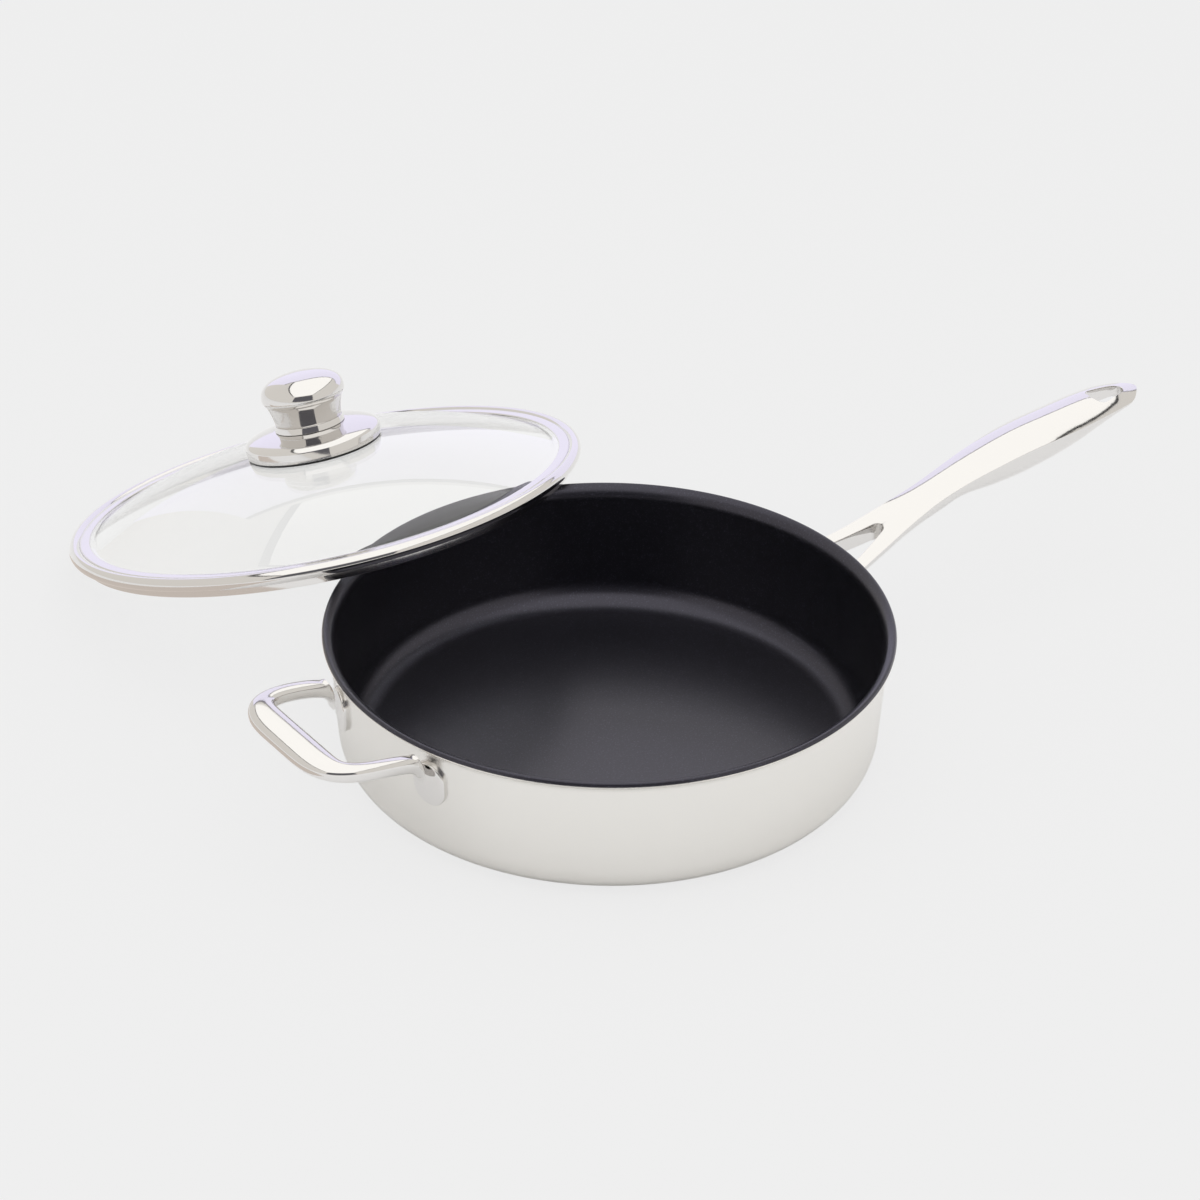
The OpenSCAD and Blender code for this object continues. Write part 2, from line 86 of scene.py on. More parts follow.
def linear(colour: str) -> tuple[float, float, float, float]:
    """Turns an sRGB hex colour into a linear colour.

    Args:
        colour: six hex digits, with or without a leading hash.

    Returns:
        Red, green, blue and alpha, each from 0 to 1.
    """
    digits = colour.lstrip("#")
    parts = [int(digits[i : i + 2], 16) / 255 for i in (0, 2, 4)]
    r, g, b = (p / 12.92 if p <= 0.04045 else ((p + 0.055) / 1.055) ** 2.4 for p in parts)
    return r, g, b, 1.0


def add_node(
    tree: Tree,
    kind: str,
    inputs: dict[str | int, object] | None = None,
    **settings: object,
) -> bpy.types.Node:
    """Adds a node with its settings, its socket values and its incoming links.

    Args:
        tree: the node tree that takes the node.
        kind: the node's type, such as ShaderNodeBsdfPrincipled.
        inputs: for each socket, by name or number, a value or the output that feeds it.
        **settings: properties set on the node itself.

    Returns:
        The new node.
    """
    made = tree.nodes.new(kind)
    for key, value in settings.items():
        setattr(made, key, value)
    for key, value in (inputs or {}).items():
        if isinstance(value, Socket):
            tree.links.new(value, made.inputs[key])
        else:
            made.inputs[key].default_value = value
    return made


def new_material(name: str) -> tuple[Material, Tree]:
    """Makes an empty node material.

    Args:
        name: the material's name.

    Returns:
        The material and its node tree, which holds no nodes yet.
    """
    material = bpy.data.materials.new(name)
    material.use_nodes = True
    material.node_tree.nodes.clear()
    return material, material.node_tree


def close_material(material: Material, kind: str, inputs: dict[str | int, object]) -> Material:
    """Gives a material the shader that makes its surface.

    Args:
        material: the material, with its other nodes in place.
        kind: the shader node's type.
        inputs: the shader's values and the outputs that feed it.

    Returns:
        The same material.
    """
    shader = add_node(material.node_tree, kind, inputs)
    add_node(material.node_tree, "ShaderNodeOutputMaterial", {"Surface": shader.outputs[0]})
    return material


def noise(tree: Tree, size_mm: float, detail: float = 2.0) -> Socket:
    """Noise that stays with the object.

    Args:
        tree: the material's node tree.
        size_mm: the size of its waves in millimetres.
        detail: how many finer layers it has.

    Returns:
        The output with its value, from 0 to 1.
    """
    place = add_node(tree, "ShaderNodeTexCoord").outputs["Object"]
    inputs = {"Vector": place, "Scale": 1 / (size_mm * MM), "Detail": detail}
    return add_node(tree, "ShaderNodeTexNoise", inputs).outputs["Fac"]


def spread(tree: Tree, pattern: Socket, middle: float, swing: float) -> Socket:
    """Spreads a pattern's value to both sides of a middle value.

    Args:
        tree: the material's node tree.
        pattern: the pattern's output.
        middle: the middle of the new range.
        swing: how far it goes to each side.

    Returns:
        The output with the new value.
    """
    inputs = {"Value": pattern, "To Min": middle - swing, "To Max": middle + swing}
    return add_node(tree, "ShaderNodeMapRange", inputs).outputs["Result"]


def relief(tree: Tree, pattern: Socket, strength: float, depth_mm: float) -> Socket:
    """Turns a pattern into relief.

    Args:
        tree: the material's node tree.
        pattern: the pattern's output.
        strength: how strongly it shows, from 0 to 1.
        depth_mm: its depth in millimetres.

    Returns:
        The output with the new normal.
    """
    inputs = {"Height": pattern, "Strength": strength, "Distance": depth_mm * MM}
    return add_node(tree, "ShaderNodeBump", inputs).outputs["Normal"]


@dataclass(frozen=True)
class PolishedSteel:
    """Stainless steel castings, tumbled and buffed to a mirror.

    The eye sees a clear, slightly softened picture of the studio in them; the buffing
    leaves a very faint unevenness that breaks up the longest highlights.
    """

    name: str = "buffed_stainless_steel"
    colour: str = "#DEDCDA"
    roughness: float = 0.075
    swing: float = 0.01875
    unevenness_mm: float = 9.0
    unevenness: float = 0.02

    def build(self) -> Material:
        """Builds the material."""
        material, tree = new_material(self.name)
        wave = noise(tree, self.unevenness_mm)
        inputs = {
            "Base Color": linear(self.colour),
            "Metallic": 1.0,
            "Roughness": spread(tree, wave, self.roughness, self.swing),
            "Normal": relief(tree, wave, self.unevenness, 1),
        }
        return close_material(material, PRINCIPLED, inputs)


@dataclass(frozen=True)
class SatinSteel:
    """Stainless sheet, spun and polished round its wall with fine grit.

    The grit leaves hair lines round the wall, so highlights are stretched up and down and
    soft to the sides. Real lines are about 0.05 mm apart; they are drawn coarser to show.
    """

    name: str = "satin_spun_stainless_steel"
    colour: str = "#E6E4E0"
    roughness: float = 0.24
    swing: float = 0.05
    line_mm: float = 0.35
    line_strength: float = 0.04
    line_depth_mm: float = 0.2

    def build(self) -> Material:
        """Builds the material."""
        material, tree = new_material(self.name)
        place = add_node(tree, "ShaderNodeTexCoord").outputs["Object"]
        height = add_node(tree, "ShaderNodeSeparateXYZ", {"Vector": place}).outputs["Z"]
        inputs = {"W": height, "Scale": 1 / (self.line_mm * MM), "Detail": 3.0}
        lines = add_node(tree, "ShaderNodeTexNoise", inputs, noise_dimensions="1D").outputs["Fac"]
        inputs = {
            "Base Color": linear(self.colour),
            "Metallic": 1.0,
            "Roughness": spread(tree, lines, self.roughness, self.swing),
            "Normal": relief(tree, lines, self.line_strength, self.line_depth_mm),
        }
        return close_material(material, PRINCIPLED, inputs)


@dataclass(frozen=True)
class NonStickCoating:
    """Sprayed and baked fluoropolymer coating: near black, satin, with a fine grain.

    A little mica in it gives tiny pale specks and a faintly violet sheen, and the sprayed
    film has a soft orange peel.
    """

    name: str = "sprayed_non_stick_coating"
    colour: str = "#0D0D0F"
    speck_colour: str = "#4A4A58"
    sheen: str = "#ECE8FF"
    roughness: float = 0.3
    ior: float = 1.68
    speck_mm: float = 0.8
    speck_start: float = 0.56
    speck_full: float = 0.74
    speck_most: float = 0.5
    grain_mm: float = 0.5
    grain_strength: float = 0.25
    grain_depth_mm: float = 0.05

    def build(self) -> Material:
        """Builds the material."""
        material, tree = new_material(self.name)
        inputs = {"Value": noise(tree, self.speck_mm), "From Min": self.speck_start}
        inputs |= {"From Max": self.speck_full, "To Max": self.speck_most}
        inputs = {"Fac": add_node(tree, "ShaderNodeMapRange", inputs).outputs["Result"]}
        inputs |= {"Color1": linear(self.colour), "Color2": linear(self.speck_colour)}
        specked = add_node(tree, "ShaderNodeMixRGB", inputs).outputs["Color"]
        grain = noise(tree, self.grain_mm)
        inputs = {
            "Base Color": specked,
            "Roughness": self.roughness,
            "IOR": self.ior,
            "Specular Tint": linear(self.sheen),
            "Normal": relief(tree, grain, self.grain_strength, self.grain_depth_mm),
        }
        return close_material(material, PRINCIPLED, inputs)


@dataclass(frozen=True)
class PlainFinish:
    """A plain material of one colour with a little grain in its gloss.

    It does for sheet and bar metal, brass and moulded silicone, whose surfaces differ in
    colour, metallic reflection, roughness and the size of their grain.
    """

    name: str
    colour: str
    metallic: float
    roughness: float
    grain_mm: float
    swing_share: float = 0.15

    def build(self) -> Material:
        """Builds the material."""
        material, tree = new_material(self.name)
        grain = noise(tree, self.grain_mm, 3.0)
        inputs = {
            "Base Color": linear(self.colour),
            "Metallic": self.metallic,
            "Roughness": spread(tree, grain, self.roughness, self.roughness * self.swing_share),
        }
        return close_material(material, PRINCIPLED, inputs)


@dataclass(frozen=True)
class TemperedGlass:
    """Pressed soda-lime glass, toughened: clear, with a faint green cast in its edge.

    Light that only crosses it on its way to something else goes straight through, as it
    does through thin clear glass, so that it throws no dark shadow.
    """

    name: str = "tempered_soda_lime_glass"
    colour: str = "#FFFFFE"
    shade_colour: str = "#FDFDFD"
    ior: float = 1.52
    ripple_mm: float = 60.0
    ripple: float = 0.02

    def build(self) -> Material:
        """Builds the material."""
        material, tree = new_material(self.name)
        inputs = {
            "Base Color": linear(self.colour),
            "Roughness": 0.0,
            "IOR": self.ior,
            "Transmission Weight": 1.0,
            "Normal": relief(tree, noise(tree, self.ripple_mm, 1.0), self.ripple, 1),
        }
        clear = add_node(tree, PRINCIPLED, inputs).outputs[0]
        shade = {"Color": linear(self.shade_colour)}
        through = add_node(tree, "ShaderNodeBsdfTransparent", shade).outputs[0]
        shadow = add_node(tree, "ShaderNodeLightPath").outputs["Is Shadow Ray"]
        return close_material(material, "ShaderNodeMixShader", {0: shadow, 1: clear, 2: through})


class Slot(Enum):
    """The record's material slots, each with its finish."""

    POLISHED = "polished_steel", PolishedSteel()
    SATIN = "satin_steel", SatinSteel()
    COATING = "nonstick_coating", NonStickCoating()
    GLASS = "tempered_glass", TemperedGlass()
    SILICONE = "black_silicone", PlainFinish("moulded_silicone", "#1C1C1E", 0.0, 0.5, 0.4)
    HARDWARE = "hardware_steel", PlainFinish("turned_stainless_steel", "#C9C7C4", 1.0, 0.28, 0.6)
    BRASS = "thread_brass", PlainFinish("turned_brass", "#C9A45C", 1.0, 0.3, 0.6)
    CORE = "core_aluminium", PlainFinish("rolled_aluminium", "#C8CACC", 1.0, 0.35, 0.5)

    @cached_property
    def material(self) -> Material:
        """The slot's material, built when it is first asked for."""
        return self.value[1].build()


def new_object(name: str, bm: Mesh, material: Material) -> Piece:
    """Turns a bmesh into an object of the scene.

    Args:
        name: the object's name.
        bm: the mesh, which is freed.
        material: its material.

    Returns:
        The new object.
    """
    mesh = bpy.data.meshes.new(name)
    bm.to_mesh(mesh)
    bm.free()
    mesh.materials.append(material)
    made = bpy.data.objects.new(name, mesh)
    bpy.context.scene.collection.objects.link(made)
    return made


def finish_piece(
    name: str, bm: Mesh, slot: Slot, place: Matrix = AT_ORIGIN, subdivisions: int = 0
) -> Piece:
    """Turns a bmesh in millimetres into a finished object in metres.

    Args:
        name: the piece's name.
        bm: the mesh, which is freed.
        slot: its material slot.
        place: where the piece's own frame lies in the model, in metres.
        subdivisions: levels of a Subdivision Surface modifier, or 0 for none.

    Returns:
        The new object, at the origin, with its place in its mesh.
    """
    bmesh.ops.recalc_face_normals(bm, faces=bm.faces[:])
    bmesh.ops.transform(bm, matrix=place @ Matrix.Scale(MM, 4), verts=bm.verts[:])
    for face in bm.faces:
        face.smooth = True
    for edge in bm.edges:
        edge.smooth = not (edge.is_manifold and edge.calc_face_angle() > SHARP_ANGLE)
    piece = new_object(name, bm, slot.material)
    if subdivisions:
        smooth = piece.modifiers.new("smooth", "SUBSURF")
        smooth.levels = smooth.render_levels = subdivisions
    return piece


def spin(profile: Profile, closed: bool = False) -> Mesh:
    """Spins a half section into a round mesh.

    Args:
        profile: radius and height of each point, in order along the section's edge.
        closed: whether the last point joins the first.

    Returns:
        The mesh, with its seam and its poles closed.
    """
    bm = bmesh.new()
    verts = [bm.verts.new((r, 0, z)) for r, z in profile]
    edges = [bm.edges.new(pair) for pair in zip(verts, verts[1:])]
    if closed:
        edges.append(bm.edges.new((verts[-1], verts[0])))
    bmesh.ops.spin(
        bm,
        geom=verts + edges,
        cent=(0, 0, 0),
        axis=(0, 0, 1),
        angle=2 * math.pi,
        steps=ROUND_STEPS,
        use_merge=True,
    )
    bmesh.ops.remove_doubles(bm, verts=bm.verts[:], dist=MERGE_MM)
    return bm


def arc(centre: Point, radius: float, start: float, end: float, steps: int) -> list[Point]:
    """Points along an arc.

    Args:
        centre: the arc's centre.
        radius: its radius.
        start: the angle of its first point, in degrees.
        end: the angle of its last point, in degrees.
        steps: how many parts it is drawn in.

    Returns:
        The points, both ends with them.
    """
    angles = [math.radians(start + (end - start) * k / steps) for k in range(steps + 1)]
    return [(centre[0] + radius * math.cos(a), centre[1] + radius * math.sin(a)) for a in angles]


def round_corners(profile: Profile, radii: dict[int, float], closed: bool = True) -> list[Point]:
    """Rounds some corners of a section.

    Args:
        profile: the section's points.
        radii: the radius for each rounded corner, by its number in the profile.
        closed: whether the last point joins the first.

    Returns:
        The points with arcs in place of those corners.
    """
    count = len(profile)
    points: list[Point] = []
    for i, corner in enumerate(profile):
        radius = radii.get(i, 0)
        if not radius or (not closed and i in (0, count - 1)):
            points.append(corner)
            continue
        here = Vector(corner)
        back = (Vector(profile[i - 1]) - here).normalized()
        ahead = (Vector(profile[(i + 1) % count]) - here).normalized()
        half = back.angle(ahead) / 2
        reach = radius / math.tan(half)
        centre = here + (back + ahead).normalized() * (radius / math.sin(half))
        start, end = here + back * reach - centre, here + ahead * reach - centre
        turn = -math.degrees(start.angle_signed(end))
        first = math.degrees(math.atan2(start.y, start.x))
        steps = max(3, round(abs(turn) / CORNER_STEP))
        points += arc(centre, radius, first, first + turn, steps)
    return points


def tube(rings: int, sides: int, place: Callable[[int, int], Vector]) -> Mesh:
    """A tube whose points are set by ring and side, with both ends closed.

    Args:
        rings: how many rings of points.
        sides: how many points in each ring.
        place: gives a point's place from its ring and its side.

    Returns:
        The mesh.
    """
    bm = bmesh.new()
    bmesh.ops.create_grid(bm, x_segments=rings - 1, y_segments=sides, size=1)
    for vert in bm.verts:
        ring = round((vert.co.x + 1) / 2 * (rings - 1))
        side = round((vert.co.y + 1) / 2 * sides) % sides
        vert.co = place(ring, side)
    bmesh.ops.remove_doubles(bm, verts=bm.verts[:], dist=MERGE_MM)
    bmesh.ops.holes_fill(bm, edges=[e for e in bm.edges if e.is_boundary])
    return bm


def drill(piece: Piece, slot: Slot, place: Matrix, centre: Vector, diameter: float) -> None:
    """Drills a round hole through a piece, along the axis of its frame.

    Args:
        piece: the object that is drilled.
        slot: its material slot, which the hole's wall takes too.
        place: the piece's own frame in the model, in metres.
        centre: the hole's centre in that frame, in millimetres.
        diameter: the hole's diameter in millimetres.
    """
    bm = bmesh.new()
    size = {"radius1": diameter / 2, "radius2": diameter / 2, "depth": 60}
    bmesh.ops.create_cone(bm, cap_ends=True, segments=48, **size)
    bmesh.ops.translate(bm, vec=centre, verts=bm.verts[:])
    cutter = finish_piece("drill_cutter", bm, slot, place)
    cut = piece.modifiers.new("hole", "BOOLEAN")
    cut.operation, cut.solver = "DIFFERENCE", "EXACT"
    cut.object = cutter
    bpy.context.view_layer.update()
    graph = bpy.context.evaluated_depsgraph_get()
    mesh = bpy.data.meshes.new_from_object(piece.evaluated_get(graph))
    piece.modifiers.clear()
    old, piece.data = piece.data, mesh
    mesh.name = piece.name
    bpy.data.meshes.remove(old)
    bpy.data.objects.remove(cutter)


def show(piece: Piece, body: Body, slot: Slot, *nodes: str) -> None:
    """Makes a piece ride on its body and stand for CAD nodes, and reports it.

    Args:
        piece: the finished object.
        body: the body that it moves with.
        slot: its material slot; not used.
        *nodes: the CAD nodes that it stands for.
    """
    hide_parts(*nodes)
    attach(piece, body.value)
    log.info("%s: %d faces, on %s", piece.name, len(piece.data.polygons), body.value)


def dress(slot: Slot, *nodes: str) -> None:
    """Gives carried CAD nodes their material.

    Args:
        slot: their material slot.
        *nodes: the nodes' names.
    """
    for name in nodes:
        mesh = frame["nodes"][name].data
        mesh.materials.clear()
        mesh.materials.append(slot.material)
        log.info("%s: carried CAD node, %s", name, slot.material.name)


@dataclass(frozen=True)
class Curve:
    """A smooth curve through pairs of position and value."""

    pairs: Profile

    def _slope(self, i: int) -> float:
        """Slope at a pair, from its neighbours."""
        a, b = max(i - 1, 0), min(i + 1, len(self.pairs) - 1)
        return (self.pairs[b][1] - self.pairs[a][1]) / (self.pairs[b][0] - self.pairs[a][0])

    def at(self, x: float) -> float:
        """Value of the curve at a position.

        Args:
            x: the position.

        Returns:
            The value there.
        """
        i = 0
        while i < len(self.pairs) - 2 and x > self.pairs[i + 1][0]:
            i += 1
        (x0, v0), (x1, v1) = self.pairs[i], self.pairs[i + 1]
        w = x1 - x0
        s = (x - x0) / w
        m0, m1 = self._slope(i) * w, self._slope(i + 1) * w
        return (
            (2 * s**3 - 3 * s**2 + 1) * v0
            + (s**3 - 2 * s**2 + s) * m0
            + (3 * s**2 - 2 * s**3) * v1
            + (s**3 - s**2) * m1
        )


@dataclass(frozen=True)
class Wall:
    """The pressed shape of the clad sheet: flat base, round corner, wall and curled lip."""

    rim_d: float = 290
    height: float = 72.6
    corner_r: float = 18
    draft: float = 3.4
    lip_r: float = 6
    lip_angle: float = 70
    thickness: float = 3.0

    @property
    def lip_centre(self) -> Point:
        """Centre of the lip's curl."""
        a = math.radians(self.lip_angle)
        return (
            self.rim_d / 2 + self.lip_r * math.cos(a),
            self.height - (self.lip_r + self.thickness) * math.sin(a),
        )

    @property
    def wall_top(self) -> Point:
        """Where the wall's outside runs into the lip."""
        a = math.radians(self.draft)
        x, z = self.lip_centre
        return x - self.lip_r * math.cos(a), z + self.lip_r * math.sin(a)

    def radius_at(self, z: float) -> float:
        """Radius of the wall's outside at a height."""
        x, top = self.wall_top
        return x - math.tan(math.radians(self.draft)) * (top - z)

    def surface(self, depth: float, short: float = 0.0) -> list[Point]:
        """Half section of the surface at a depth below the pan's outside.

        Args:
            depth: how far below the outer surface, in millimetres.
            short: how far the curl stops short of the lip's edge, in degrees.

        Returns:
            The section's points, from the base to the lip.
        """
        a = math.radians(self.draft)
        foot_z = self.corner_r * (1 - math.sin(a))
        corner = (self.radius_at(foot_z) - self.corner_r * math.cos(a), self.corner_r)
        low = arc(corner, self.corner_r - depth, -90, -self.draft, 24)
        end = 180 - self.lip_angle + short
        lip = arc(self.lip_centre, self.lip_r + depth, 180 - self.draft, end, 24)
        base = [(corner[0] * k / 6, depth) for k in range(6)]
        (x0, z0), (x1, z1) = low[-1], lip[0]
        rise = [(x0 + (x1 - x0) * k / 4, z0 + (z1 - z0) * k / 4) for k in range(1, 4)]
        return base + low + rise + lip


@dataclass
class CladdedBowl:
    """The pan's four layers: outer steel, aluminium core, inner steel and coating."""

    wall: Wall = field(default_factory=Wall)
    outer_t: float = 0.6
    core_t: float = 1.6
    inner_t: float = 0.5
    hem_angle: float = 15
    hem_round: float = 1.1

    def _layer(self, node: str, slot: Slot, profile: Profile) -> None:
        """Spins one layer and shows it for its CAD node."""
        show(finish_piece(f"{node}_sheet", spin(profile), slot), Body.PAN, slot, node)

    def _between(self, start: float, end: float, short: float) -> list[Point]:
        """Half section between two depths, which stops short of the lip's edge."""
        return self.wall.surface(start, short) + self.wall.surface(end, short)[::-1]

    def _lining(self, low: float) -> list[Point]:
        """Half section of the coating, which is turned over the lip's edge.

        Args:
            low: the depth of its underside below the pan's outside, in millimetres.

        Returns:
            The section's points.
        """
        under = self.wall.surface(low, self.hem_angle)
        fold = self.wall.surface(self.outer_t, self.hem_angle)[-1]
        over = self.wall.surface(self.wall.thickness)[::-1]
        corner = len(under) + 2
        profile = under + [fold, self.wall.surface(self.outer_t)[-1], over[0]] + over[9:]
        return round_corners(profile, {corner: self.hem_round}, closed=False)

    def build(self) -> None:
        """Builds all four layers."""
        a = self.outer_t
        b = a + self.core_t
        c = b + self.inner_t
        edge = len(self.wall.surface(0)) - 1
        skin = round_corners(self._between(0, a, 0), {edge: 0.2, edge + 1: 0.15}, closed=False)
        self._layer("outer_skin", Slot.SATIN, skin)
        self._layer("aluminium_core", Slot.CORE, self._between(a, b, self.hem_angle))
        self._layer("inner_skin", Slot.SATIN, self._between(b, c, self.hem_angle))
        self._layer("nonstick_lining", Slot.COATING, self._lining(c))


@dataclass
class Pad:
    """An oval plate at the root of a handle, laid on the pan's wall."""

    wall: Wall
    side: int
    offset: float
    width: float = 19
    height: float = 24
    thickness: float = 2.4
    centre_z: float = 49
    edge_round: float = 0.9
    sink: float = 0.3

    def mesh(self) -> Mesh:
        """Builds the pad flat and bends it to the wall.

        Returns:
            The mesh, in the pan's frame.
        """
        bm = bmesh.new()
        bmesh.ops.create_circle(bm, cap_ends=True, radius=self.width / 2, segments=64)
        stretch = (self.height - self.width) / 2
        for vert in bm.verts:
            vert.co.y += math.copysign(stretch, vert.co.y) if abs(vert.co.y) > ZERO_MM else 0
        lifted = bmesh.ops.extrude_face_region(bm, geom=bm.faces[:])
        tops = [v for v in lifted["geom"] if isinstance(v, bmesh.types.BMVert)]
        bmesh.ops.translate(bm, vec=(0, 0, self.thickness), verts=tops)
        top_faces = [f for f in lifted["geom"] if isinstance(f, bmesh.types.BMFace)]
        rim, shape = top_faces[0].edges[:], {"segments": 4, "profile": 0.5, "material": -1}
        bmesh.ops.bevel(bm, geom=rim, offset=self.edge_round, affect="EDGES", **shape)
        top = max(bm.faces, key=lambda f: f.calc_center_median().z)
        bmesh.ops.poke(bm, faces=[top])
        flush = {v for v in bm.verts if abs(v.co.z - self.thickness) < ZERO_MM}
        spokes = [e for e in bm.edges if flush.issuperset(e.verts)]
        bmesh.ops.subdivide_edges(bm, edges=spokes, cuts=3, use_grid_fill=True)
        radius = self.wall.radius_at(self.centre_z)
        turn = math.asin(self.offset / radius)
        lean = math.radians(self.wall.draft)
        for vert in bm.verts:
            across, up, out = vert.co
            z = self.centre_z + up * math.cos(lean) - out * math.sin(lean)
            r = self.wall.radius_at(self.centre_z + up) - self.sink + out * math.cos(lean)
            a = turn + across / radius
            vert.co = (self.side * r * math.cos(a), r * math.sin(a), z)
        return bm


def add_pads(wall: Wall, handle: str, side: int, offset: float) -> None:
    """Adds the two pads of a handle.

    Args:
        wall: the wall that they lie on.
        handle: the handle's name.
        side: 1 where the long handle is, -1 opposite.
        offset: how far each stands from the middle plane, in millimetres.
    """
    for name, hand in (("near", -1), ("far", 1)):
        pad = Pad(wall, side, hand * offset).mesh()
        piece = finish_piece(f"{handle}_pad_{name}", pad, Slot.POLISHED)
        show(piece, Body.PAN, Slot.POLISHED)


@dataclass
class LongHandle:
    """The long cast handle: two prongs that join into a neck and a full grip."""

    wall: Wall = field(default_factory=Wall)
    length: float = 216
    rise: float = 42
    root_z: float = 59
    fork_w: float = 41
    neck_w: float = 22
    grip_w: float = 32
    grip_t: float = 23.5
    prong_t: float = 10.5
    slot_len: float = 37
    slot_w: float = 28
    slot_end_r: float = 4.3
    hang_len: float = 22
    hang_w: float = 15
    hang_edge: float = 10.5
    tip_round: float = 16
    grip_crown: float = 5
    belly_power: float = 2.3
    edge_crease: float = 0.9
    sunk: float = 6
    root_blend: float = 25
    root_sink: float = 1.2

    def along(self, share: float) -> float:
        """Distance from the pan's axis, in millimetres, at a share of the handle's length."""
        return self.wall.radius_at(self.root_z) + self.length * share

    def half_width(self, x: float) -> float:
        """Half of the handle's width at a place along it.

        Args:
            x: the place, in millimetres from the pan's axis.

        Returns:
            The half width in millimetres.
        """
        at, fork, neck = self.along, self.fork_w / 2, self.neck_w / 2
        grip = [(0.52, 0.44), (0.7, 0.5), (0.86, 0.465), (0.95, 0.37), (1, 0.2)]
        curve = Curve(
            [(at(0) - self.sunk, fork + 1), (at(0), fork), (at(0.12), self.fork_w * 0.38)]
            + [(at(0.28), neck + 0.4), (at(0.36), neck + 0.3)]
            + [(at(s), self.grip_w * w) for s, w in grip]
        )
        into = (x - at(1) + self.tip_round) / self.tip_round
        share = 1.0 if into < 0 else math.sqrt(max(0.0, 1 - into * into))
        return max(0.8, curve.at(x) * share)

    def top(self, x: float) -> float:
        """Height of the handle's crest at a place along it.

        Args:
            x: the place, in millimetres from the pan's axis.

        Returns:
            The height in millimetres.
        """
        at, root = self.along, self.root_z
        shares = [(0.12, 0.19), (0.28, 0.48), (0.44, 0.75), (0.6, 0.94)]
        shares += [(0.74, 1.02), (0.9, 1.06), (1, 1)]
        pairs = [(at(0) - self.sunk, root - 1.5), (at(0), root)]
        return Curve(pairs + [(at(s), root + self.rise * h) for s, h in shares]).at(x)

    def thickness(self, x: float) -> float:
        """Thickness of the handle at a place along it.

        Args:
            x: the place, in millimetres from the pan's axis.

        Returns:
            The thickness in millimetres.
        """
        at = self.along
        shares = [(0.33, 0.58), (0.39, 0.57), (0.5, 0.86), (0.61, 1)]
        shares += [(0.75, 0.85), (0.88, 0.46), (1, 0.16)]
        pairs = [(at(0) - self.sunk, self.prong_t), (at(0.2), self.prong_t)]
        return max(1.0, Curve(pairs + [(at(s), self.grip_t * t) for s, t in shares]).at(x))

    def crown(self, x: float) -> float:
        """Height of the top face over its edges; the prongs are nearly flat on top.

        Args:
            x: the place, in millimetres from the pan's axis.

        Returns:
            The height in millimetres.
        """
        at = self.along
        shares = [(0.18, 0.26), (0.36, 0.9), (0.5, 1), (1, 1)]
        share = Curve([(at(0) - self.sunk, 0.22)] + [(at(s), c) for s, c in shares])
        full = self.grip_crown * min(1, 2 * self.half_width(x) / self.grip_w) ** 2
        return min(full, 0.42 * self.thickness(x)) * share.at(x)

    def height(self, x: float, y: float, face: int) -> float:
        """Height of the handle's surface.

        Args:
            x: place along the handle, in millimetres.
            y: distance from its middle plane.
            face: 1 for the crowned top face, -1 for the belly.

        Returns:
            The height in millimetres.
        """
        share = min(1.0, y / self.half_width(x))
        thick, crown = self.thickness(x), self.crown(x)
        if face > 0:
            return self.top(x) - crown * share * share
        depth = max(0.0, 1 - share**self.belly_power) ** (1 / self.belly_power)
        return self.top(x) - crown - (thick - crown) * depth

    def _opening_rows(self) -> list[Point]:
        """Place along the handle and half width of the gap there, for every row of the mesh."""
        r, half, root, end = self.slot_end_r, self.slot_w / 2, self.along(0), self.along(1)
        end_x = root + self.slot_len - r
        slant = math.asin((half - r) / (self.slot_len - r))
        run, step = end_x + r * math.sin(slant) - root, r * math.cos(slant) - half
        rows = [(root + run * k / 9, half + step * k / 9) for k in range(9)]
        rows += arc((end_x, 0), r, 90 - math.degrees(slant), 0, 7)
        far_r, near_r = self.hang_w * 0.3, self.hang_w * 0.28
        far_x, near_x = end - self.hang_edge - far_r, end - self.hang_edge - self.hang_len + near_r
        near_y = self.hang_w / 2 - near_r
        start, last, high = near_x - near_r, rows[-1][0], near_y + near_r
        rows += [(last + (start - last) * k / 30, 0.0) for k in range(1, 31)]
        rows.append((start + 0.01, near_y * 0.5))
        rows += arc((near_x + 0.02, near_y), near_r, 180, 90, 6)
        for s in (0.25, 0.5, 0.75):
            rows.append((near_x + (far_x - near_x) * s, high * (1 - s) + far_r * s))
        lean = math.degrees(math.asin((high - far_r) / (far_x - near_x)))
        rows += arc((far_x, 0), far_r, 90 - lean, 0, 6)
        last = rows[-1][0]
        rows += [(last + (end - last) * math.sin(math.pi / 2 * k / 8), 0.0) for k in range(1, 9)]
        return rows

    def _even(self, rows: list[Point]) -> list[float]:
        """Places of the rows along the handle's outer edge, evened out beside the gaps.

        Args:
            rows: place and half gap of every row.

        Returns:
            The place of every row on the outer edge.
        """
        places = [x for x, _ in rows]
        for _ in range(60):
            inner = [(a + 2 * b + c) / 4 for a, b, c in zip(places, places[1:], places[2:])]
            places = [places[0], *inner, places[-1]]
        return places

    def mesh(self) -> Mesh:
        """Builds one half of the handle as a closed skin, and mirrors it.

        Returns:
            The mesh, in the pan's frame.
        """
        rows = self._opening_rows()
        edge_x = self._even(rows)
        steps = [0.0, 0.035, 0.11] + [
            math.cos(math.radians(90 * (1 - k / 8))) ** (2 / self.belly_power) for k in range(1, 9)
        ]

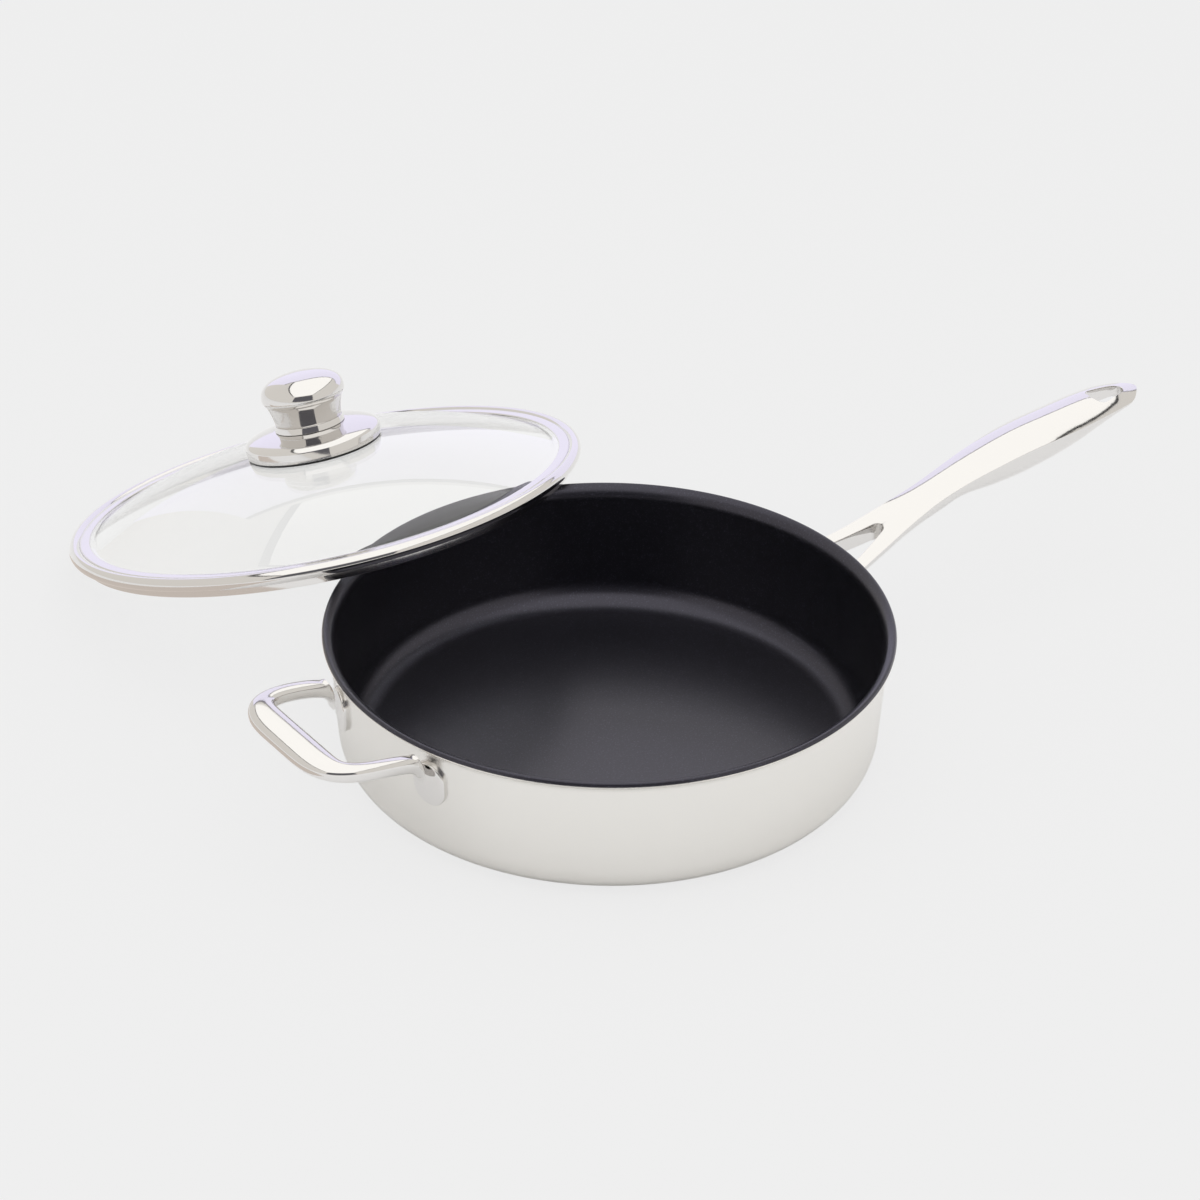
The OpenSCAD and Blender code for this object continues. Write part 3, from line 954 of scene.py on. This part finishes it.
        def point(row: int, lane: int, face: int) -> Vector:
            """Place of one point.

            Args:
                row: its row along the handle.
                lane: its lane, from the gap to the outer edge.
                face: 1 for the upper face, -1 for the lower face.

            Returns:
                The place in millimetres.
            """
            gap_x, gap = rows[row]
            w = steps[lane]
            x = gap_x + (edge_x[row] - gap_x) * w
            y = gap + (self.half_width(edge_x[row]) - gap) * w
            z = self.height(x, y, 1 if lane == len(steps) - 1 else face)
            fade = max(0.0, 1 - (x - self.along(0)) / self.root_blend)
            radius = self.wall.radius_at(z)
            root = math.sqrt(radius * radius - y * y) - self.root_sink - self.along(0)
            return Vector((x + root * fade, y, z))

        bm = bmesh.new()
        last_row, last_lane = len(rows) - 1, len(steps) - 1
        bmesh.ops.create_grid(bm, x_segments=last_row, y_segments=last_lane, size=1)
        for vert in bm.verts:
            row, lane = (vert.co.x + 1) / 2 * last_row, (vert.co.y + 1) / 2 * last_lane
            vert.co = (round(row), round(lane), 0)
        low = bmesh.ops.extrude_face_region(bm, geom=bm.faces[:])
        under = {v for v in low["geom"] if isinstance(v, bmesh.types.BMVert)}
        for vert in bm.verts:
            row, lane = round(vert.co.x), round(vert.co.y)
            vert.co = point(row, lane, -1 if vert in under else 1)
        bmesh.ops.remove_doubles(bm, verts=bm.verts[:], dist=MERGE_MM)
        crease = bm.edges.layers.float.new("crease_edge")
        outer = {v for v in bm.verts if abs(v.co.y - self.half_width(v.co.x)) < 0.4}
        for edge in bm.edges:
            if all(v in outer and v.co.x > self.along(0.05) for v in edge.verts):
                edge[crease] = self.edge_crease
        seam = [f for f in bm.faces if all(abs(v.co.y) < ZERO_MM for v in f.verts)]
        bmesh.ops.delete(bm, geom=seam, context="FACES")
        whole = bm.verts[:] + bm.edges[:] + bm.faces[:]
        bmesh.ops.mirror(bm, geom=whole, axis="Y", merge_dist=MERGE_MM)
        return bm

    def build(self) -> None:
        """Builds the handle with its pads."""
        handle = finish_piece("long_handle_casting", self.mesh(), Slot.POLISHED, subdivisions=2)
        for edge in handle.data.edges:
            edge.use_edge_sharp = False
        show(handle, Body.PAN, Slot.POLISHED, "long_handle")
        add_pads(self.wall, "long_handle", 1, (self.fork_w + self.slot_w) / 4)


def squarer(value: float, power: float) -> float:
    """A sine or cosine, with its sign, for a loop that is squarer than a circle."""
    return math.copysign(abs(value) ** (2 / power), value)


@dataclass
class HelperHandle:
    """The short looped handle on the far side of the pan."""

    wall: Wall = field(default_factory=Wall)
    reach: float = 55.5
    pad_gap: float = 80
    rise: float = 15.5
    splay: float = 2.4
    bar_w: float = 17.6
    arm_w: float = 8.6
    bar_t: float = 8
    pad_h: float = 24
    pad_z: float = 49
    loop_power: float = 4.8
    section_power: float = 2.8
    widening: float = 10
    rising: float = 0.3
    steep_most: float = 1.5
    sunk: float = 6
    last_turn: float = 89.7
    rings: int = 140
    sides: int = 48

    def middle(self, turn: float) -> Vector:
        """Point on the middle line of the loop.

        Args:
            turn: how far round the loop it is, from -90 to 90 degrees.

        Returns:
            The point in millimetres.
        """
        a = math.radians(turn)
        arm_z = self.pad_z + self.pad_h / 2 - self.bar_t / 2 - 1
        start = self.wall.radius_at(arm_z) - self.sunk
        span = self.reach + self.sunk - self.bar_w / 2
        out = squarer(max(0.0, math.cos(a)), self.loop_power)
        level = max(0.0, out - self.sunk / span) / (1 - self.sunk / span)
        across = self.pad_gap / 2 + self.splay * out
        across *= squarer(math.sin(a), self.loop_power)
        return Vector((-start - span * out, across, arm_z + self.rise * level**self.rising))

    def mesh(self) -> Mesh:
        """Builds the loop as a closed tube of rounded sections.

        Returns:
            The mesh, in the pan's frame.
        """

        def place(ring: int, side: int) -> Vector:
            """Place of one point of the tube.

            Args:
                ring: its ring along the loop.
                side: its side of the section.

            Returns:
                The place in millimetres.
            """
            turn = self.last_turn * math.sin(math.pi * ring / (self.rings - 1) - math.pi / 2)
            mid = self.middle(turn)
            ahead = self.middle(min(90, turn + 0.5)) - self.middle(max(-90, turn - 0.5))
            run = math.hypot(ahead.x, ahead.y)
            flat = Vector((ahead.x, ahead.y, 0)) / run
            out = squarer(max(0.0, math.cos(math.radians(turn))), self.loop_power)
            half = (self.arm_w + (self.bar_w - self.arm_w) * out**self.widening) / 2
            a = 2 * math.pi * side / self.sides
            q = squarer(math.cos(a), self.section_power) * half
            up = squarer(math.sin(a), self.section_power) * self.bar_t / 2
            up *= min(self.steep_most, ahead.length / run)
            return mid + Vector((-flat.y * q, flat.x * q, up))

        return tube(self.rings, self.sides, place)

    def build(self) -> None:
        """Builds the loop with its pads."""
        loop = finish_piece("helper_handle_casting", self.mesh(), Slot.POLISHED)
        show(loop, Body.PAN, Slot.POLISHED, "helper_handle")
        add_pads(self.wall, "helper_handle", -1, self.pad_gap / 2)


def lid_place() -> Matrix:
    """Frame of the lid as it leans, in metres: its axis, and the foot of that axis.

    Returns:
        The matrix from the lid's own frame to the model's frame.
    """
    joint = next(j for j in frame["joints"] if j["name"] == "vent_turn")
    axis = Vector(joint["axis"]).normalized()
    foot = Vector(joint["pos_m"]) - axis * Lid.joint_height * MM
    up = Vector((0, 0, 1))
    downhill = (axis * up.dot(axis) - up).normalized()
    across = axis.cross(downhill)
    return Matrix.Translation(foot) @ Matrix((downhill, across, axis)).transposed().to_4x4()


@dataclass
class Lid:
    """The glass lid: dome, steel band with its rolled bead, and the stack of the knob."""

    joint_height: ClassVar[float] = 40.0
    skirt_r: float = 137
    skirt_h: float = 6
    band_t: float = 0.8
    bead_r: float = 3.6
    band_hold: float = 4.9
    under_hold: float = 0.8
    glass_t: float = 4
    dome_rise: float = 28
    flat_edge: float = 1.5
    glass_edge_gap: float = 0.3
    shank_hole_r: float = 3.15
    dial_d: float = 74.5
    dial_h: float = 5.5
    dial_crown: float = 6.4
    seal_t: float = 0.9
    run_gap: float = 0.2
    collar_d: float = 37.4
    collar_h: float = 3.4
    collar_flare: float = 0.6
    neck_h: float = 11.9
    neck_top_d: float = 43
    neck_hollow: float = 0.45
    neck_step: float = 0.2
    cap_d: float = 46.4
    cap_h: float = 14.4
    cap_shoulder: float = 0.22
    cap_power: float = 2.5
    core_d: float = 20
    wave_h: float = 0.8
    wave_room: float = 0.4
    vent_turn: float = 45
    vent_dir: float = -45
    vent_d: float = 4.4
    vent_share: float = 0.66
    hub_step: float = 5
    hub_ring: float = 2
    landing_gap: float = 0.4
    cap_hollow: float = 3.05
    bore_gap: float = 0.05

    def __post_init__(self) -> None:
        """Works out the heights that follow from the sizes."""
        self.glass_top = self.skirt_h + self.glass_t
        self.dome_foot_r = self.skirt_r - self.band_t - self.band_hold
        edge = self.dome_foot_r - self.flat_edge / 3
        self.dome_r = (edge**2 + self.dome_rise**2) / (2 * self.dome_rise)
        self.dome_z = self.glass_top + self.dome_rise - self.dome_r
        self.dial_r = self.dial_d / 2
        self.hub_r = self.collar_d / 2 - self.hub_step
        self.dial_base = self.dome_at(self.dial_r, self.seal_t + self.run_gap)
        self.foot_r = self.collar_d / 2 + self.collar_flare
        self.landing = math.acos((self.foot_r + self.landing_gap) / self.dial_r)
        self.dial_top = self.dial_base + self.dial_h + self.dial_crown * math.sin(self.landing)
        self.collar_base = self.dial_top + self.run_gap
        self.neck_base = self.collar_base + self.collar_h
        self.cap_base = self.neck_base + self.neck_h
        self.core_r = self.core_d / 2 + self.bore_gap
        self.hole_dir = self.vent_dir + self.vent_turn
        self.place = lid_place()

    def dome_at(self, r: float, lift: float) -> float:
        """Height of the dome, or of a surface that lies a lift above it, at a radius."""
        return self.dome_z + math.sqrt((self.dome_r + lift) ** 2 - r * r)

    def dome_line(self, r0: float, r1: float, lift: float, steps: int) -> list[Point]:
        """Points along the dome between two radii, at a lift above it."""
        radii = [r0 + (r1 - r0) * k / steps for k in range(steps + 1)]
        return [(r, self.dome_at(r, lift)) for r in radii]

    def _turned(
        self,
        name: str,
        section: Profile,
        slot: Slot,
        *nodes: str,
        body: Body = Body.LID,
        vent: float | None = None,
        closed: bool = True,
    ) -> None:
        """Spins a half section round the lid's axis and shows the piece.

        Args:
            name: the piece's name.
            section: radius and height of its points, in the lid's frame.
            slot: its material slot.
            *nodes: the CAD nodes that it stands for.
            body: the body that it moves with.
            vent: the way of the vent hole through it, in degrees, if it has one.
            closed: whether the section's last point joins its first.
        """
        piece = finish_piece(name, spin(section, closed), slot, self.place)
        if vent is not None:
            a, r = math.radians(vent), self.dial_r * self.vent_share
            spot = Vector((r * math.cos(a), r * math.sin(a), self.dial_base))
            drill(piece, slot, self.place, spot, self.vent_d)
        show(piece, body, slot, *nodes)

    def glass(self) -> None:
        """Builds the glass dome with its flat edge."""
        foot = self.skirt_h
        low_r = math.sqrt((self.dome_r - self.glass_t) ** 2 - (foot - self.dome_z) ** 2)
        outer = self.skirt_r - self.band_t - self.glass_edge_gap
        top_r = self.dome_foot_r - self.flat_edge / 3
        dome = self.dome_line(self.shank_hole_r, top_r, 0, 40)
        dome += [(outer - 0.5, self.glass_top), (outer, self.glass_top - 0.5)]
        dome += [(outer, foot + 0.5), (outer - 0.5, foot), (low_r + 1, foot)]
        dome += self.dome_line(low_r, self.shank_hole_r, -self.glass_t, 40)
        self._turned("glass_dome", dome, Slot.GLASS, "lid_glass", vent=self.hole_dir)

    def band(self) -> None:
        """Builds the steel band: skirt, edge over the glass and rolled bead."""
        r, t = self.skirt_r, self.band_t
        top, low = self.glass_top + t, self.skirt_h - t
        lap = r - t - self.band_hold
        under = lap + self.under_hold
        skirt = [(lap, self.glass_top), (lap, top), (r, top), (r, 0), (r - t, 0), (r - t, low)]
        skirt += [(under, low), (under, self.skirt_h), (r - t, self.skirt_h)]
        skirt.append((r - t, self.glass_top))
        skirt = round_corners(skirt, {0: 0.15, 1: 0.5, 2: 0.75, 3: 0.25, 4: 0.25, 6: 0.3})
        self._turned("band_skirt", skirt, Slot.POLISHED, "rim_band")
        middle = (r + self.bead_r - t, self.skirt_h + self.glass_t / 2)
        self._turned("band_bead", arc(middle, self.bead_r, 0, 360, 32)[:-1], Slot.POLISHED)

    def dial(self) -> None:
        """Builds the vent dial and the seal under it."""
        inner, rim = self.hub_r + self.hub_ring, self.dial_r
        seal = self.dome_line(inner, rim - 0.5, 0.02, 8)
        seal += self.dome_line(rim - 0.5, inner, self.seal_t, 8)
        self._turned("vent_gasket", seal, Slot.SILICONE, "vent_seal", vent=self.hole_dir)

        lift = self.seal_t + self.run_gap
        pocket_r = inner + self.wave_room
        pocket_z = self.dial_top - self.wave_h - self.run_gap - self.wave_room
        bore = self.hub_r + self.run_gap
        plate = [(pocket_r, self.dial_top)]
        for k in range(33):
            a = self.landing * (1 - k / 32)
            z = self.dial_base + self.dial_h + self.dial_crown * math.sin(a)
            plate.append((rim * math.cos(a), z))
        plate += [(rim, self.dial_base + 0.3), (rim - 0.3, self.dome_at(rim - 0.3, lift))]
        plate += self.dome_line(rim - 1, bore, lift, 10)
        plate += [(bore, pocket_z), (pocket_r, pocket_z)]
        turns = {"body": Body.DIAL, "vent": self.vent_dir}
        self._turned("vent_dial_plate", plate, Slot.POLISHED, "vent_dial", **turns)

    def knob(self) -> None:
        """Builds the collar, neck and cap of the knob."""
        core, foot, base = self.core_r, self.foot_r, self.collar_base
        collar = [(core, base), (foot, base), (foot, base + 0.4)]
        collar += [(self.collar_d / 2, self.neck_base), (core, self.neck_base)]
        collar = round_corners(collar, {1: 0.12, 2: 0.3, 3: 0.2})
        self._turned("collar_turning", collar, Slot.POLISHED, "knob_collar")

        foot, top = self.collar_d / 2 - self.neck_step, self.neck_top_d / 2
        base, end = self.neck_base, self.cap_base
        neck = [(core, base), (foot - 0.25, base), (foot, base + 0.25)]
        for k in range(1, 12):
            s = k / 12
            dip = self.neck_hollow * (1 - (2 * s - 1) ** 2)
            neck.append((foot + (top - foot) * s - dip, base + self.neck_h * s))
        neck += [(top, end - 0.25), (top - 0.25, end), (core, end)]
        self._turned("neck_turning", neck, Slot.POLISHED, "knob_neck")

        flare = math.acos(self.neck_top_d / self.cap_d)
        wide, low_h, e = self.cap_d / 2, self.cap_h * self.cap_shoulder, 2 / self.cap_power
        hollow = end + self.cap_hollow
        cap = [(core, hollow), (core, end)]
        for k in range(9):
            a = -flare * (1 - k / 8)
            cap.append((wide * math.cos(a), end + low_h * (1 + math.sin(a) / math.sin(flare))))
        for k in range(1, 41):
            a = math.pi / 2 * k / 40
            r = wide * math.cos(a) ** e if k < 40 else 0.0
            cap.append((r, end + low_h + (self.cap_h - low_h) * math.sin(a) ** e))
        cap.append((0, hollow))
        self._turned("cap_turning", cap, Slot.POLISHED, "knob_cap", closed=False)

    def build(self) -> None:
        """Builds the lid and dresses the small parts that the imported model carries."""
        self.glass()
        self.band()
        self.dial()
        self.knob()
        washers = ("wave_washer", "lock_washer", "cup_washer")
        dress(Slot.HARDWARE, "knob_core", *washers, "lid_screw")
        dress(Slot.BRASS, "thread_insert")
        dress(Slot.SILICONE, "under_seal", "seat_seal")


@dataclass
class Studio:
    """Pale floor, even light and the cards that the polished steel reflects."""

    floor_colour: str = "#EFEFEF"
    floor_size: float = 12.0
    floor_plain: float = 0.88
    floor_roughness: float = 0.9
    room_light: float = 0.86

    def _card(
        self, name: str, size: Point, centre: Spot, aim: Spot, colour: str, strength: float = 1.0
    ) -> None:
        """A card that only reflections see.

        Args:
            name: the card's name.
            size: its two sides in metres.
            centre: its centre, seen from the camera: right, away and up, in metres.
            aim: the way it faces, in the same directions.
            colour: its colour.
            strength: its brightness, where 1 is white.
        """
        bm = bmesh.new()
        bmesh.ops.create_grid(bm, x_segments=1, y_segments=1, size=0.5)
        turn = Matrix.Rotation(math.radians(VIEW_AZIMUTH), 4, "Z")
        face = Vector(aim).to_track_quat("Z", "Y").to_matrix().to_4x4()
        place = turn @ Matrix.Translation(centre) @ face @ Matrix.Diagonal((*size, 1, 1))
        bmesh.ops.transform(bm, matrix=place, verts=bm.verts[:])
        material, _ = new_material(f"{name}_paper")
        light = {"Color": linear(colour), "Strength": strength}
        card = new_object(name, bm, close_material(material, "ShaderNodeEmission", light))
        for ray in ("camera", "diffuse", "transmission", "shadow", "volume_scatter"):
            setattr(card, f"visible_{ray}", False)

    def floor(self) -> None:
        """Builds the plain floor, which keeps a faint shadow of the object."""
        bm = bmesh.new()
        bmesh.ops.create_grid(bm, x_segments=1, y_segments=1, size=self.floor_size / 2)
        material, tree = new_material("matt_studio_floor")
        rays = add_node(tree, "ShaderNodeLightPath").outputs
        grey = linear(self.floor_colour)
        inputs = {"Fac": rays["Is Glossy Ray"], "Color1": grey, "Color2": linear("#FFFFFF")}
        tone = add_node(tree, "ShaderNodeMixRGB", inputs).outputs["Color"]
        inputs = {"Base Color": tone, "Roughness": self.floor_roughness, "Specular IOR Level": 0.0}
        paper = add_node(tree, PRINCIPLED, inputs).outputs[0]
        plain = add_node(tree, "ShaderNodeEmission", {"Color": grey}).outputs[0]
        inputs = {0: rays["Is Camera Ray"], 1: rays["Is Transmission Ray"]}
        seen = add_node(tree, "ShaderNodeMath", inputs, operation="MAXIMUM").outputs[0]
        inputs = {0: seen, 1: self.floor_plain}
        share = add_node(tree, "ShaderNodeMath", inputs, operation="MULTIPLY").outputs[0]
        close_material(material, "ShaderNodeMixShader", {0: share, 1: paper, 2: plain})
        new_object("studio_floor", bm, material)

    def world(self) -> None:
        """Sets the even light of the room, and what camera and reflections see of it."""
        world = bpy.data.worlds.new("studio_room")
        world.use_nodes = True
        tree = world.node_tree
        tree.nodes.clear()
        rays = add_node(tree, "ShaderNodeLightPath").outputs
        inputs = {"Color": linear("#FFFFFF"), "Strength": self.room_light}
        light = add_node(tree, "ShaderNodeBackground", inputs).outputs[0]
        for ray, colour, strength in (
            ("Glossy", "#D2CFCA", 1.3),
            ("Camera", self.floor_colour, 1.0),
            ("Transmission", self.floor_colour, 1.0),
        ):
            inputs = {"Color": linear(colour), "Strength": strength}
            shown = add_node(tree, "ShaderNodeBackground", inputs).outputs[0]
            inputs = {0: rays[f"Is {ray} Ray"], 1: light, 2: shown}
            light = add_node(tree, "ShaderNodeMixShader", inputs).outputs[0]
        add_node(tree, "ShaderNodeOutputWorld", {"Surface": light})
        bpy.context.scene.world = world

    def lamps(self) -> None:
        """Adds the soft lamp overhead."""
        data = bpy.data.lights.new("overhead_softbox", "AREA")
        data.shape = "RECTANGLE"
        data.size, data.size_y = 2.4, 2.0
        data.energy = 9.0
        lamp = bpy.data.objects.new("overhead_softbox", data)
        lamp.location = (-0.3, -0.3, 2.2)
        lamp.visible_glossy = False
        bpy.context.scene.collection.objects.link(lamp)

    def build(self) -> None:
        """Builds the floor, the room and the cards."""
        self.floor()
        self.world()
        self.lamps()
        near, away, down, up = (0, -1, 0), (0, 1, 0), (0, 0, -1), (0, 0, 1)
        self._card("back_wall", (3.7, 1.19), (0.65, 2.2, 0.595), near, "#E8E5F7", 1.3)
        self._card("wall_top_edge", (3.7, 0.06), (0.65, 2.2, 1.22), near, "#55545A")
        self._card("softbox_card", (2.6, 5.4), (0, 0.7, 2.0), down, "#FFFEFB", 1.3)
        for side, x in (("left", -1.35), ("right", 1.35)):
            self._card(f"softbox_{side}_edge", (0.1, 5.4), (x, 0.7, 2.0), down, "#2A2A2C")
        self._card("camera_side_card", (1.9, 1.3), (0, -1.6, 0.85), away, "#66656A")
        # Painted shade: a beige-grey card on the floor left of the pan, seen only in reflections,
        # darkens the floor there in place of a shadow.
        self._card("left_floor_painted_shade_card", (0.2, 0.42), (-0.31, -0.03, 0.001), up, "#DCD2CA")


@dataclass
class Camera:
    """The photograph's view, fitted to the outlines of rim, base, lid and handles."""

    elevation: float = 31.73
    distance: float = 1.730
    lens: float = 102.84
    target_z: float = 0.071
    roll: float = 0.766
    target_px: Point = (609.57, 624.16)
    frame_px: float = 1200

    def build(self) -> None:
        """Builds the camera and makes it the scene's own."""
        a, e = math.radians(VIEW_AZIMUTH), math.radians(self.elevation)
        back = Vector((math.sin(a) * math.cos(e), -math.cos(a) * math.cos(e), math.sin(e)))
        data = bpy.data.cameras.new("photo_camera")
        data.sensor_width = 36.0
        data.lens = self.lens
        data.shift_x = (self.frame_px / 2 - self.target_px[0]) / self.frame_px
        data.shift_y = (self.target_px[1] - self.frame_px / 2) / self.frame_px
        data.clip_start, data.clip_end = 0.05, 50
        camera = bpy.data.objects.new("photo_camera", data)
        turn = (-back).to_track_quat("-Z", "Y").to_matrix().to_4x4()
        place = Matrix.Translation(Vector((0, 0, self.target_z)) + back * self.distance)
        camera.matrix_world = place @ turn @ Matrix.Rotation(math.radians(self.roll), 4, "Z")
        bpy.context.scene.collection.objects.link(camera)
        bpy.context.scene.camera = camera


def main() -> None:
    """Builds the pan, its handles, the lid and the studio."""
    logging.basicConfig(level=logging.INFO, format="%(name)s %(message)s")
    bpy.context.scene.view_settings.view_transform = "Standard"
    for part in (CladdedBowl, LongHandle, HelperHandle, Lid, Studio, Camera):
        part().build()


if __name__ == "__main__":
    main()
